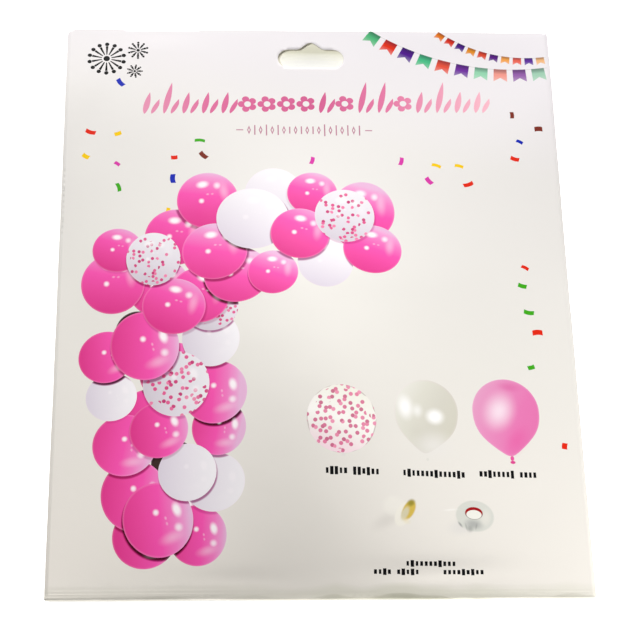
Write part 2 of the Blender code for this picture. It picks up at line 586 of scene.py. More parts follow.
def repeat(along, pitch):
    """Parts a direction into cells, and gives each one's number and the shift from its middle."""
    count = add("Math MULTIPLY", along, 1 / pitch)
    number = add("Math FLOOR", count)
    part = add("Math SUBTRACT", count, number)
    return number, add("Math MULTIPLY_ADD", part, pitch, -pitch / 2)


BUNTING = (
    # middle of the arc, arc radius, first angle, angle between flags, width, drop, notch, inks
    (
        ((104.2, 254.9), 123.0, -124.4, 4.55, 6.9, 7.6, 2.3),
        "#4AB076 #D92800 #4A0888 #42B581 #DC4C36 #6A2B99 #8FCEAC #E9968A #8F5CA6 #9CC9B1",
    ),
    (
        ((112.3, 209.9), 70.7, -127.3, 4.83, 4.4, 4.5, 1.4),
        "#D87000 #CE2806 #440C80 #DA8818 #D04024 #541480 #EA9E4C #E26050 #5C2C9A #EAB47E",
    ),
)
FLAG_COUNT = 10
TAIL_PALENESS = 0.2
FOLD_DARKNESS = 0.5
STRING_PLACE = 0.25
STRING_HALF = 0.14
# The picture's ground: the pearl tint with its painted cool and warm light.
picture = add(
    "ValToRGB",
    painted_light_coolness,
    stops={0.0: "#E9E5DE", 0.45: "#E8E6E1", 0.78: "#E8E6E4", 0.9: "#E8E5E8", 1.0: "#E8E5EA"},
)
for (middle, radius, first, turn, width, drop, notch), inks in BUNTING:
    angle, reach = polar(add("VectorMath SUBTRACT", here, (*middle, 0.0)))
    angle = add("Math SUBTRACT", angle, math.radians(first - turn / 2))
    number, aside = repeat(angle, math.radians(turn))
    aside = add("Math ABSOLUTE", add("Math MULTIPLY", aside, radius + drop / 2))
    below = add("Math SUBTRACT", reach, radius)
    tail = add("Math MULTIPLY_ADD", aside, 2 * notch / width, drop - notch)
    is_flag = add("Math COMPARE", number, (FLAG_COUNT - 1) / 2, FLAG_COUNT / 2)
    on_flag = add("Math MULTIPLY", is_flag, add("Math LESS_THAN", aside, width / 2))
    on_flag = add("Math MULTIPLY", on_flag, add("Math GREATER_THAN", below, 0.0))
    on_flag = add("Math MULTIPLY", on_flag, add("Math LESS_THAN", below, tail))
    share = add("Math MULTIPLY_ADD", number, 1 / FLAG_COUNT, 0.5 / FLAG_COUNT)
    stops = {n / FLAG_COUNT: ink for n, ink in enumerate(inks.split())}
    ink = add("ValToRGB", share, stops=stops)
    ink.color_ramp.interpolation = "CONSTANT"
    pale = add("MapRange", below, drop * 0.5, drop, 0.0, TAIL_PALENESS)
    ink = add("Mix RGBA", pale, ink, "#FFFFFF")
    fold = add("MapRange", below, drop * 0.12, drop * 0.42, FOLD_DARKNESS, 0.0)
    ink = add("Mix RGBA", fold, ink, "#1A1030")
    string = add("Math COMPARE", below, STRING_PLACE, STRING_HALF)
    string = add("Math MULTIPLY", add("Math MULTIPLY", string, is_flag), 0.5)
    picture = add("Mix RGBA", string, picture, "#A9A7A2")
    picture = add("Mix RGBA", on_flag, picture, ink)


# Printed paper confetti
# Small cut bits of coloured paper, strewn by chance in the upper corners and down the right side.
# At most one bit lies in each cell of a loose mosaic, turned any way and slightly curled.


def oval(place, middle_x, middle_y, half_width, half_height, turn=0.0):
    """Distance from the middle of an oval, 1 on its edge."""
    middle = (middle_x, middle_y, 0.0)
    size = (half_width, half_height, 1.0)
    spot = add("Mapping", place, middle, (0.0, 0.0, math.radians(turn)), size, vector_type="TEXTURE")
    return add("VectorMath LENGTH", spot)


BIT_SPACING = 14.5
BIT_HALF_LENGTHS = (1.5, 2.7)
BIT_HALF_WIDTHS = (0.85, 1.4)
BIT_CURL = 0.07
FILLED_SHARE = 0.68
STRAY_SHARE = 0.02
BIT_FIELDS = (
    # middle x, middle y, half width, half height
    (-78.0, 88.0, 44.0, 46.0),
    (78.0, 82.0, 44.0, 34.0),
    (106.0, -48.0, 13.0, 76.0),
)
CLEAR_FIELDS = (
    # middle x, middle y, half width, half height
    (2.6, 108.0, 96.0, 19.0),
    (50.0, -63.0, 59.0, 22.0),
)
cells = add(
    "TexVoronoi",
    named={"Vector": here, "Scale": 1 / BIT_SPACING, "Randomness": 0.6},
    voronoi_dimensions="2D",
)
presence, turn_chance, size_chance = add("SeparateColor", cells.outputs["Color"]).outputs
cell_place = cells.outputs["Position"]
wanted = STRAY_SHARE
for field in BIT_FIELDS:
    inside = add("MapRange", oval(cell_place, *field), 1.0, 0.8, 0.0, FILLED_SHARE)
    wanted = add("Math MAXIMUM", wanted, inside)
cell_x, cell_y, _ = add("SeparateXYZ", cell_place).outputs
for middle_x, middle_y, half_width, half_height in CLEAR_FIELDS:
    clear_x = add("Math COMPARE", cell_x, middle_x, half_width)
    clear_y = add("Math COMPARE", cell_y, middle_y, half_height)
    wanted = add("Math SUBTRACT", wanted, add("Math MULTIPLY", clear_x, clear_y))
is_there = add("Math LESS_THAN", presence, wanted)
from_cell = add("VectorMath SUBTRACT", here, cell_place)
bit_turn = add("Math MULTIPLY", turn_chance, 2 * math.pi)
turned = add("VectorRotate", named={"Vector": from_cell, "Angle": bit_turn}, rotation_type="Z_AXIS")
along, side, _ = add("SeparateXYZ", turned).outputs
curl = add("Math MULTIPLY", along, along)
side = add("Math MULTIPLY_ADD", curl, BIT_CURL, side)
along = add("Math ABSOLUTE", along)
side = add("Math ABSOLUTE", side)
bit_length = add("MapRange", size_chance, 0.0, 1.0, *BIT_HALF_LENGTHS)
bit_width = add("MapRange", turn_chance, 0.0, 1.0, *BIT_HALF_WIDTHS)
bit_mask = add("Math LESS_THAN", along, bit_length)
bit_mask = add("Math MULTIPLY", bit_mask, add("Math LESS_THAN", side, bit_width))
bit_mask = add("Math MULTIPLY", bit_mask, is_there)
# A high multiple of the same chance is a fresh one.
ink_chance = add("Math FRACT", add("Math MULTIPLY", size_chance, 37.7))
bit_ink = add(
    "ValToRGB",
    ink_chance,
    stops={
        0.0: "#E02812", 0.28: "#1428B0", 0.48: "#3FA81A",
        0.66: "#D63AA8", 0.80: "#F2C808", 0.93: "#7A2E22",
    },
)
bit_ink.color_ramp.interpolation = "CONSTANT"
picture = add("Mix RGBA", bit_mask, picture, bit_ink)


# Printed bursts in the upper left corner
# Three little bursts of rays, each ray ending in a dot, in black ink.

BURSTS = (
    # middle x, middle y, size, number of rays
    (-104.5, 136.5, 9.6, 14),
    (-88.5, 141.8, 5.2, 10),
    (-90.0, 128.8, 4.0, 9),
)
RAY_HALF_WIDTHS = (0.25, 0.62)
TIP_SHARE = 0.115
CORE_SHARE = 0.17
for middle_x, middle_y, size, rays in BURSTS:
    angle, reach = polar(add("VectorMath SUBTRACT", here, (middle_x, middle_y, 0.0)))
    _, aside = repeat(add("Math ADD", angle, 3 * math.pi), 2 * math.pi / rays)
    aside = add("Math MULTIPLY", aside, reach)
    taper = add("MapRange", reach, size * 0.25, size * 0.78, *RAY_HALF_WIDTHS)
    line = add("Math LESS_THAN", add("Math ABSOLUTE", aside), taper)
    line = add("Math MULTIPLY", line, add("Math COMPARE", reach, size * 0.53, size * 0.27))
    tip = add("CombineXYZ", aside, reach, 0.0)
    tip = add("VectorMath DISTANCE", tip, (0.0, size * 0.93, 0.0))
    tip = add("Math LESS_THAN", tip, size * TIP_SHARE)
    core = add("Math LESS_THAN", reach, size * CORE_SHARE)
    drawn = add("Math MAXIMUM", add("Math MAXIMUM", line, tip), core)
    picture = add("Mix RGBA", drawn, picture, "#08080A")


# Printed leaf border over the picture
# A row of slanted leaves and five-petalled blossoms, mixed by chance, in pinks that pale to both
# ends. Plain ornament where such packets carry their heading.

BORDER_MIDDLE = (2.6, 103.9)
BORDER_TILT = 0.72
BORDER_HALF = 89.5
MOTIF_PITCH = 2 * BORDER_HALF / 18
TALL_LEAF_EXTRA = 6.0
TALL_LEAF_SHARE = 0.28
LEAF_SWELL = 2.35
BLOSSOM_SHARE = 0.36
BLOSSOM_LEVEL = 5.6
PETAL_START = 2.4
PETAL_LENGTH = 2.5
EYE_RADIUS = 1.7
LEAVES = (
    # foot along the motif, lean, height, half width, grows tall by chance
    (-2.7, 0.22, 13.0, 2.1, True),
    (1.0, 0.48, 9.5, 1.8, False),
)
tilt = (0.0, 0.0, math.radians(BORDER_TILT))
border = add("Mapping", here, (*BORDER_MIDDLE, 0.0), tilt, vector_type="TEXTURE")
border_x, level, _ = add("SeparateXYZ", border).outputs
within = add("Math LESS_THAN", add("Math ABSOLUTE", border_x), BORDER_HALF)
number, motif_x = repeat(border_x, MOTIF_PITCH)
motif_chance = add("TexWhiteNoise", number, noise_dimensions="1D")
leaf_mask = 0.0
for foot, lean, height, half_width, grows in LEAVES:
    top = height
    if grows:
        is_tall = add("Math GREATER_THAN", motif_chance, 1.0 - TALL_LEAF_SHARE)
        top = add("Math MULTIPLY_ADD", is_tall, TALL_LEAF_EXTRA, height)
    aside = add("Math SUBTRACT", motif_x, foot)
    aside = add("Math MULTIPLY_ADD", level, -lean, aside)
    aside = add("Math ABSOLUTE", aside)
    up = add("Math DIVIDE", level, top, use_clamp=True)
    swell = add("Math MULTIPLY_ADD", up, -1.0, 1.0)
    swell = add("Math MULTIPLY", swell, add("Math POWER", up, 0.7))
    swell = add("Math MULTIPLY", swell, half_width * LEAF_SWELL)
    leaf_mask = add("Math MAXIMUM", leaf_mask, add("Math LESS_THAN", aside, swell))
blossom = add("CombineXYZ", motif_x, add("Math SUBTRACT", level, BLOSSOM_LEVEL), 0.0)
angle, reach = polar(blossom)
petal = add("Math SINE", add("Math MULTIPLY", angle, 2.5))
petal = add("Math SQRT", add("Math ABSOLUTE", petal))
petal = add("Math MULTIPLY_ADD", petal, PETAL_LENGTH, PETAL_START)
blossom = add("Math LESS_THAN", reach, petal)
blossom = add("Math MULTIPLY", blossom, add("Math GREATER_THAN", reach, EYE_RADIUS))
is_blossom = add("Math LESS_THAN", motif_chance, BLOSSOM_SHARE)
motif = add("Mix FLOAT", is_blossom, leaf_mask, blossom)
motif = add("Math MULTIPLY", motif, within)
along = add("MapRange", border_x, -BORDER_HALF, BORDER_HALF, 0.0, 1.0)
motif_ink = add(
    "ValToRGB",
    along,
    stops={0.0: "#E295B3", 0.2: "#D76C9A", 0.5: "#CD5B8E", 0.72: "#DD78A2", 1.0: "#F2B7C7"},
)
picture = add("Mix RGBA", motif, picture, motif_ink)


# Printed bead line under the border
# Thin diamonds and ticks in turn, in dusty rose, with a dash at each end.

BEAD_MIDDLE = (-3.6, 93.4)
BEAD_HALF = 29.5
BEAD_PITCH = 2.95
BEAD_HALF_WIDTHS = (0.42, 0.95)
BEAD_SLOPE = 0.36
TICK_HALF_WIDTH = 0.32
TICK_HALF_HEIGHTS = (2.0, 4.0)
DASH_GAP = 3.2
DASH_HALF_LENGTH = 1.8
DASH_HALF_WIDTH = 0.3
beads = add("VectorMath SUBTRACT", here, (*BEAD_MIDDLE, 0.0))
bead_x, bead_y, _ = add("SeparateXYZ", beads).outputs
from_end = add("Math ABSOLUTE", bead_x)
level = add("Math ABSOLUTE", bead_y)
number, aside = repeat(bead_x, BEAD_PITCH)
aside = add("Math ABSOLUTE", aside)
odd = add("Math PINGPONG", number, 1.0)
slope = add("Math MULTIPLY_ADD", level, BEAD_SLOPE, aside)
diamond = add("Math LESS_THAN", slope, BEAD_HALF_WIDTHS[1])
diamond = add("Math MULTIPLY", diamond, add("Math GREATER_THAN", slope, BEAD_HALF_WIDTHS[0]))
tick_chance = add("TexWhiteNoise", number, noise_dimensions="1D")
tick_height = add("MapRange", tick_chance, 0.0, 1.0, *TICK_HALF_HEIGHTS)
tick = add("Math LESS_THAN", aside, TICK_HALF_WIDTH)
tick = add("Math MULTIPLY", tick, add("Math LESS_THAN", level, tick_height))
drawn = add("Mix FLOAT", odd, diamond, tick)
drawn = add("Math MULTIPLY", drawn, add("Math LESS_THAN", from_end, BEAD_HALF))
dash = add("Math COMPARE", from_end, BEAD_HALF + DASH_GAP, DASH_HALF_LENGTH)
dash = add("Math MULTIPLY", dash, add("Math LESS_THAN", level, DASH_HALF_WIDTH))
drawn = add("Math MAXIMUM", drawn, dash)
picture = add("Mix RGBA", drawn, picture, "#B97F95")


# Printed rows of blocks under the samples
# Short upright blocks of black ink, of two heights by chance, where such packets list what is in
# them. They say nothing.

BLOCK_PITCH = 2.12
BLOCK_HALF_WIDTHS = (0.55, 0.85)
LOW_BLOCK_SHARE = 0.55
LOW_BLOCK_HEIGHT = 0.68
GAP_SHARE = 0.1
BLOCK_ROWS = (
    # middle x, middle y, half width, half height
    (15.6, -96.4, 12.8, 2.0),
    (53.0, -96.2, 14.3, 2.0),
    (87.5, -95.4, 14.3, 2.0),
    (49.4, -139.2, 11.8, 1.5),
    (33.7, -143.0, 11.4, 1.5),
    (64.9, -143.0, 9.8, 1.5),
)
number, aside = repeat(across, BLOCK_PITCH)
block_chance = add("TexWhiteNoise", number, noise_dimensions="1D")
block_half = add("MapRange", block_chance, 0.0, 1.0, *BLOCK_HALF_WIDTHS)
block = add("Math LESS_THAN", add("Math ABSOLUTE", aside), block_half)
block_height = add("Math GREATER_THAN", block_chance, LOW_BLOCK_SHARE)
block_height = add("Math MULTIPLY_ADD", block_height, 1.0 - LOW_BLOCK_HEIGHT, LOW_BLOCK_HEIGHT)
block_rows = 0.0
for middle_x, middle_y, half_width, half_height in BLOCK_ROWS:
    first = round((middle_x - half_width) / BLOCK_PITCH)
    last = round((middle_x + half_width) / BLOCK_PITCH)
    row = add("Math COMPARE", number, (first + last - 1) / 2, (last - first) / 2)
    beside = add("Math SUBTRACT", upward, middle_y)
    beside = add("Math MULTIPLY", add("Math ABSOLUTE", beside), 1 / half_height)
    row = add("Math MULTIPLY", row, add("Math LESS_THAN", beside, block_height))
    block_rows = add("Math MAXIMUM", block_rows, row)
block = add("Math MULTIPLY", block, block_rows)
block = add("Math MULTIPLY", block, add("Math LESS_THAN", block_chance, 1.0 - GAP_SHARE))
picture = add("Mix RGBA", block, picture, "#101012")


# Printed balloon garland and sample balloons
# A generic garland of latex balloons in an upside-down L, in offset inks: hot pink, white and clear
# with paper confetti. Balloons lie along a bent line in rows, the later ones over the earlier, and
# one of each sort stands alone at the right as a sample, hanging down to its knot.

POST_LINE = [(-69, -128), (-68, -98), (-71, -56), (-78, -10), (-70, 18)]
ARM_LINE = [(-41, 32), (-4, 34), (28, 35)]
ROW_COUNT = 11
END_SPREAD = 26.0
EXTRA_SPREAD = 13.0
UNDER_SIZE = 15.0
GAP_SIZE = 11.0
OUTER_SIZES = (11.5, 16.0)
MIDDLE_SIZES = (12.0, 18.0)
PICTURE_STRETCH = 1.06
PINK, WHITE, CONFETTI, GAP, CLEAR_SAMPLE, PEARL_SAMPLE, PINK_SAMPLE = range(1, 8)
LETTERS = {"P": PINK, "W": WHITE, "C": CONFETTI}
OUTER_KINDS = "PPPWPPWPPWPCPPPPWPPWPP"
MIDDLE_KINDS = "PWPCPPCPWPC"
garland_line = [Vector(point) for point in POST_LINE + ARM_LINE]
garland_legs = list(zip(garland_line, garland_line[1:]))
garland_length = sum((end - start).length for start, end in garland_legs)


def garland_place(share, aside):
    """A point along the garland's line, shifted to its right."""
    left = share * garland_length
    for start, end in garland_legs:
        leg = end - start
        if left <= leg.length or end == garland_legs[-1][1]:
            break
        left -= leg.length
    leg = leg.normalized()
    return start + leg * left + Vector((leg.y, -leg.x)) * aside


def light_turn(point):
    """The lamps in the picture stand above its arm and to the right of its post."""
    return -78.0 * smooth_step((12.0 - point.y) / 55.0)


random.seed(24)
balloons = []
for row in range(ROW_COUNT - 1):
    share = (row + 0.6) / (ROW_COUNT - 0.4)
    kind, size = (GAP, GAP_SIZE) if row % 3 == 1 else (PINK, UNDER_SIZE)
    balloons.append((garland_place(share, random.uniform(-12, 4)), size, kind))
for row in range(ROW_COUNT):
    share = row / (ROW_COUNT - 1)
    spread = END_SPREAD + EXTRA_SPREAD * math.sqrt(math.sin(math.pi * share))
    for side in (-1, 1):
        size = random.uniform(*OUTER_SIZES)
        kind = LETTERS[OUTER_KINDS[2 * row + (side + 1) // 2]]
        shift = random.uniform(-4, 4) / garland_length
        spot = garland_place(min(max(share + shift, 0.0), 1.0), side * (spread - size))
        balloons.append((spot, size, kind))
for row in range(ROW_COUNT):
    share = (row + 0.45) / ROW_COUNT
    size = random.uniform(*MIDDLE_SIZES)
    aside = (6.0 if row % 2 else -6.0) + random.uniform(-4, 4)
    balloons.append((garland_place(share, aside), size, LETTERS[MIDDLE_KINDS[row]]))
SAMPLE_TURNS = {CLEAR_SAMPLE: 0.0, PEARL_SAMPLE: -4.0, PINK_SAMPLE: 3.5}
balloons.append((Vector((10.5, -70.6)), 16.3, CLEAR_SAMPLE))
balloons.append((Vector((50.75, -64.4)), 15.2, PEARL_SAMPLE))
balloons.append((Vector((89.0, -63.2)), 16.0, PINK_SAMPLE))

picture_place = add("VectorMath MULTIPLY_ADD", here, (1.0, 1.0, 0.0), (0.0, 0.0, 1.0))
DROP_STRETCH = 1.35
DROP_NARROWING = 0.9
ball = add("CombineXYZ", 0.0, 0.0, 0.0)
shade = 1.0
for spot, size, kind in balloons:
    is_sample = kind > GAP
    turn = SAMPLE_TURNS[kind] if is_sample else light_turn(spot) + random.uniform(-12, 12)
    code = kind + (0.0 if is_sample else random.uniform(-0.3, 0.3))
    stretch = 1.0 if is_sample else random.uniform(0.97, 1.05)
    turned = Matrix.Rotation(math.radians(turn), 2)
    ahead = turned @ Vector((1.0, 0.0)) / (size * stretch)
    up = turned @ Vector((0.0, 1.0)) / (size / stretch)
    ahead.y /= PICTURE_STRETCH
    up.y /= PICTURE_STRETCH
    # The place's Z is 1, so that a dot product also takes off the balloon's middle.
    local_x = add("VectorMath DOT_PRODUCT", picture_place, (*ahead, -ahead.dot(spot)))
    local_y = add("VectorMath DOT_PRODUCT", picture_place, (*up, -up.dot(spot)))
    local = add("CombineXYZ", local_x, local_y, code)
    if kind > CLEAR_SAMPLE:
        low = add("Math MINIMUM", local_y, 0.0)
        drop_y = add("Math MULTIPLY_ADD", low, 1 / DROP_STRETCH - 1.0, local_y)
        taper = add("Math POWER", add("Math ABSOLUTE", low), 4.0)
        taper = add("Math MULTIPLY_ADD", taper, DROP_NARROWING / DROP_STRETCH**4, 1.0)
        drop_x = add("Math MULTIPLY", local_x, taper)
        local = add("CombineXYZ", drop_x, drop_y, code)
    reach = add("VectorMath DISTANCE", local, (0.0, 0.0, code))
    on_ball = add("Math LESS_THAN", reach, 1.0)
    below = Matrix.Rotation(-math.radians(turn), 2) @ Vector((random.uniform(-0.05, 0.05), -0.08))
    deep = random.choice((0.12, 0.5, 0.8, 0.9))
    cast = add("VectorMath DISTANCE", local, (below.x, below.y, code))
    cast = add("MapRange SMOOTHSTEP", cast, 0.97, 1.05, deep, 1.0)
    shade = add("Math MULTIPLY", shade, cast)
    shade = add("Mix FLOAT", on_ball, shade, 1.0)
    ball = add("Mix VECTOR", on_ball, ball, local)

_, _, code = add("SeparateXYZ", ball).outputs
flat_ball = add("VectorMath MULTIPLY", ball, (1.0, 1.0, 0.0))
rim = add("VectorMath LENGTH", flat_ball)
facing = add("VectorMath DOT_PRODUCT", flat_ball, (0.3, 0.95, 0.0))
kind = add("Math ROUND", code)
tint = add("Math SUBTRACT", code, kind)
level = add("Math MULTIPLY_ADD", facing, 0.5, 0.5)

pink_level = add("Math MULTIPLY_ADD", tint, 0.35, level)
pink_ink = add(
    "ValToRGB",
    pink_level,
    stops={
        0.0: "#DC3A8C", 0.28: "#E8489C", 0.58: "#F455B0",
        0.78: "#F27CC2", 0.92: "#EE9ED2", 1.0: "#E8B8DC",
    },
)
white_ink = add("ValToRGB", level, stops={0.0: "#D9D1DE", 0.5: "#E9E4EC", 1.0: "#F6F4F8"})
clear_ink = add("ValToRGB", level, stops={0.0: "#CFC7D2", 0.5: "#E2DDE6", 1.0: "#EFEDF2"})
sideways = add("VectorMath DOT_PRODUCT", flat_ball, (0.43, -0.25, 0.0))
sideways = add("Math ADD", sideways, 0.5)
pearl_ink = add(
    "ValToRGB", sideways, stops={0.0: "#E8E7E0", 0.3: "#DDDCD1", 0.62: "#D5D3C8", 1.0: "#D2D0C2"},
)
soft_pink_ink = add(
    "ValToRGB", sideways, stops={0.0: "#E4A0C6", 0.4: "#E48ABC", 0.7: "#E47AB4", 1.0: "#E276B0"},
)

is_sample = add("Math COMPARE", kind, CLEAR_SAMPLE, 0.4)
dot_shift = add("CombineXYZ", tint, kind, 0.0)
dot_place = add("VectorMath MULTIPLY_ADD", dot_shift, (37.0, 11.0, 0.0), flat_ball)
dots = add(
    "TexVoronoi", named={"Vector": dot_place, "Scale": 5.7, "Randomness": 1.0}, voronoi_dimensions="2D",
)
dot_chance, ink_chance, _ = add("SeparateColor", dots.outputs["Color"]).outputs
crowd = add("TexNoise", dots.outputs["Position"], 1.1, 1.0)
crowd = add("MapRange", crowd, 0.38, 0.62, 0.15, 0.95)
crowd = add("Math MULTIPLY_ADD", is_sample, 0.45, crowd)
thin_out = add("MapRange", rim, 0.5, 0.95, 1.0, 0.5)
crowd = add("Math MULTIPLY", crowd, thin_out)
dot_here = add("Math LESS_THAN", dot_chance, crowd)
dot_edge = add("MapRange", dots.outputs["Distance"], 0.37, 0.31, 0.0, 1.0)
dot_mask = add("Math MULTIPLY", dot_here, dot_edge)
dot_ink = add("ValToRGB", ink_chance, stops={0.0: "#C03A74", 0.5: "#DE5A90", 1.0: "#EE86AE"})
confetti_ink = add("Mix RGBA", dot_mask, clear_ink, dot_ink)
sample_dots = add("Math MULTIPLY", dot_mask, 0.85)
broken = add("TexNoise", dot_place, 2.6, 1.0)
broken = add("MapRange", broken, 0.42, 0.58, 0.965, 1.0)
outline = add("Math GREATER_THAN", rim, broken)
sample_body = add(
    "ValToRGB", level, stops={0.0: "#F6D9E4", 0.3: "#F4EFEC", 0.5: "#FBFAF6", 1.0: "#EFEFE4"},
)
outline = add("Math MULTIPLY", outline, 0.75)
sample_body = add("Mix RGBA", outline, sample_body, "#B4ADA2")
sample_ink = add("Mix RGBA", sample_dots, sample_body, dot_ink)

balloon_ink = pink_ink
KIND_INKS = (
    (WHITE, white_ink),
    (CONFETTI, confetti_ink),
    (GAP, "#3B2A26"),
    (CLEAR_SAMPLE, sample_ink),
    (PEARL_SAMPLE, pearl_ink),
    (PINK_SAMPLE, soft_pink_ink),
)
for wanted, ink in KIND_INKS:
    is_kind = add("Math COMPARE", kind, wanted, 0.4)
    balloon_ink = add("Mix RGBA", is_kind, balloon_ink, ink)

LAMPS = (
    # middle x, middle y, half width, half height, strength, soft edge
    (-0.06, 0.60, 0.27, 0.17, 0.95, 0.25),
    (0.40, 0.47, 0.17, 0.17, 0.75, 0.1),
    (-0.20, 0.02, 0.12, 0.12, 0.90, 0.2),
    (0.04, 0.22, 0.07, 0.05, 0.35, 0.1),
    (0.19, 0.20, 0.07, 0.05, 0.30, 0.1),
    (0.58, 0.20, 0.22, 0.50, 0.28, 0.0),
)
glints = 0.0
for *shape, strength, core in LAMPS:
    glint = add("MapRange SMOOTHSTEP", oval(flat_ball, *shape), 1.0, core, 0.0, strength)
    glints = add("Math MAXIMUM", glints, glint)
gloss = add(
    "ValToRGB",
    add("Math MULTIPLY", kind, 0.1),
    stops={0.0: "#FFFFFF", 0.15: "#969696", 0.25: "#CFCFCF", 0.35: "#000000"},
)
gloss.color_ramp.interpolation = "CONSTANT"
glints = add("Math MULTIPLY", glints, gloss)
rim_light = add("MapRange", rim, 0.94, 1.0, 0.0, 0.14)
cast_ink = add("ValToRGB", shade, stops={0.1: "#4A1530", 0.6: "#C58AAE", 1.0: "#FFFFFF"})
shaded = add("Mix RGBA", 1.0, balloon_ink, cast_ink, blend_type="MULTIPLY")
shaded = add("Mix RGBA", rim_light, shaded, "#F9DDF0")
shaded = add("Mix RGBA", glints, shaded, "#FFFAFE")
is_balloon = add("Math GREATER_THAN", code, 0.5)
picture = add("Mix RGBA", is_balloon, picture, shaded)


# Printed gloss on the samples, their knots, and two little rolls of tape
# Soft round patches of ink laid over each other, each a turned oval with its own edge.

PATCHES = (
    # middle x, middle y, half width, half height, turn, where its edge begins, strength, ink
    (40.8, -63.0, 5.2, 8.6, 6, 0.1, 0.95, "#FFFFFF"),
    (46.5, -64.5, 3.6, 5.0, 0, 0.0, 0.6, "#FFFFFF"),
    (53.5, -82.0, 13.0, 10.0, 10, 0.0, 0.85, "#E8E6E2"),
    (45.5, -75.0, 5.0, 5.0, 0, 0.0, 0.3, "#D2D0C4"),
    (54.8, -67.2, 5.8, 5.4, 0, 0.2, 1.0, "#FFFFFF"),
    (50.4, -89.2, 0.9, 1.0, 0, 0.5, 0.7, "#DDDCD6"),
    (85.8, -63.0, 9.6, 13.4, -20, 0.0, 0.78, "#F8EEF6"),
    (91.4, -50.2, 8.0, 3.6, -8, 0.0, 0.5, "#D85C9E"),
    (93.4, -78.0, 6.5, 11.5, -30, 0.0, 0.32, "#E4409A"),
    (90.6, -87.2, 1.1, 1.6, 0, 0.6, 1.0, "#E4579F"),
    (90.8, -89.2, 1.5, 1.0, 0, 0.6, 1.0, "#D9458F"),
    (10.9, -88.6, 1.6, 1.2, 0, 0.3, 0.8, "#E3E0DE"),
    (30.0, -119.5, 11.0, 5.0, 30, 0.0, 0.35, "#C6C2BC"),
    (33.6, -112.6, 6.4, 6.2, -10, 0.5, 0.5, "#F0EEE6"),
    (38.2, -116.2, 4.1, 7.4, -28, 0.75, 0.9, "#EFECE2"),
    (40.5, -114.3, 3.1, 6.1, -27, 0.7, 1.0, "#D2B654"),
    (41.7, -110.8, 2.9, 2.2, 40, 0.2, 0.8, "#8A8434"),
    (38.7, -115.9, 2.1, 4.6, -27, 0.4, 0.95, "#D3CDB0"),
    (39.2, -119.4, 3.0, 2.2, -27, 0.0, 0.6, "#EADFC0"),
    (66.0, -121.5, 11.0, 5.5, 12, 0.0, 0.3, "#C8C8CC"),
    (71.2, -116.4, 9.4, 8.0, -8, 0.88, 0.95, "#D4D6CF"),
    (70.4, -120.4, 6.0, 3.6, -8, 0.1, 0.85, "#A9ABA9"),
    (76.2, -117.0, 3.4, 5.6, -8, 0.2, 0.6, "#E6E4DC"),
    (64.2, -120.6, 0.8, 2.4, 35, 0.1, 0.7, "#7E8280"),
    (68.6, -122.6, 2.2, 2.4, 0, 0.1, 0.6, "#939694"),
    (66.9, -121.6, 0.6, 2.6, 12, 0.1, 0.5, "#8E918F"),
    (71.6, -121.4, 0.6, 2.4, -14, 0.1, 0.5, "#8A8D8B"),
    (60.0, -113.6, 5.0, 0.8, 6, 0.0, 0.6, "#F6F5F2"),
    (70.8, -115.1, 4.3, 3.1, -2, 0.92, 0.9, "#5C4A48"),
    (70.8, -114.8, 4.2, 2.9, -2, 0.92, 1.0, "#A0161C"),
    (70.8, -115.7, 3.7, 2.3, -2, 0.92, 1.0, "#EDEDE6"),
)
for *shape, edge, strength, ink in PATCHES:
    patch = add("MapRange SMOOTHSTEP", oval(here, *shape), 1.0, edge, 0.0, strength)
    picture = add("Mix RGBA", patch, picture, ink)


# Lacquer over the picture
# Thin pearl lacquer on calendered board: a faint orange peel a few millimetres across and fine
# paper fibre under it, drawn coarser than the real 0.1 mm so that it shows. Painted shade greys a
# wavering band over the last few millimetres above the bottom fold, most near x = 50 mm, darkest
# in a thin line at the fold, which is partly the coating cracked along the fold.

card = add("Mix RGBA", 1.0, BOARD_WHITE, picture, blend_type="MULTIPLY")
# Painted shade above the bottom fold, in a band with a wavering top edge.
waver = add("TexNoise", here, 0.04, 1.0)
waver = add("Math MULTIPLY_ADD", waver, 8.0, -4.0)
painted_fold_shade = add("MapRange", add("Math ADD", upward, waver), -155.4, -147.4, 0.0, 1.0)
painted_fold_shade = add(
    "ValToRGB",
    painted_fold_shade,
    stops={0.0: "#CDD0C4", 0.12: "#DADCD2", 0.2: "#EFF1EA", 0.5: "#F1F3ED", 0.9: "#FFFFFF"},
)
fold_shade_place = add("Math ABSOLUTE", add("Math SUBTRACT", across, 50.0))
fold_shade_strength = add("MapRange", fold_shade_place, 25.0, 80.0, 1.0, 0.4)
card = add("Mix RGBA", fold_shade_strength, card, painted_fold_shade, blend_type="MULTIPLY")
peel = add("TexNoise", here, 0.22, 2.0)
fibre = add("TexNoise", here, 1.4, 3.0)
relief = add("Math MULTIPLY_ADD", fibre, 0.25, peel)
bump = add("Bump", named={"Strength": 0.12, "Distance": 0.0002, "Height": relief})
rough = add("MapRange", peel, 0.3, 0.7, 0.34, 0.42)
surface = add(
    "BsdfPrincipled",
    named={
        "Base Color": card,
        "Roughness": rough,
        "IOR": 1.5,
        "Specular IOR Level": 0.1,
        "Coat Weight": 0.2,
        "Coat Roughness": 0.2,
        "Normal": bump,
    },
)
add("OutputMaterial", surface)


# Plain back of the same board
# The coated side turned to the back, without ink. Matter than the front, with a faint mottle.

back_board = new_material("board_back_plain")
tree = back_board.node_tree
here = place_in_mm(1.0)
mottle = add("TexNoise", here, 0.06, 4.0)
back_white = add("ValToRGB", mottle, stops={0.3: "#DDD9D2", 0.7: "#E6E3DD"})
fibre = add("TexNoise", here, 1.6, 4.0)
bump = add("Bump", named={"Strength": 0.2, "Distance": 0.0002, "Height": fibre})
surface = add(
    "BsdfPrincipled", named={"Base Color": back_white, "Roughness": 0.52, "IOR": 1.5, "Normal": bump},
)
add("OutputMaterial", surface)


# Raw cut edge of the board
# Uncoated pulp between the coated faces, greyer and dull, with fibres torn by the punch.

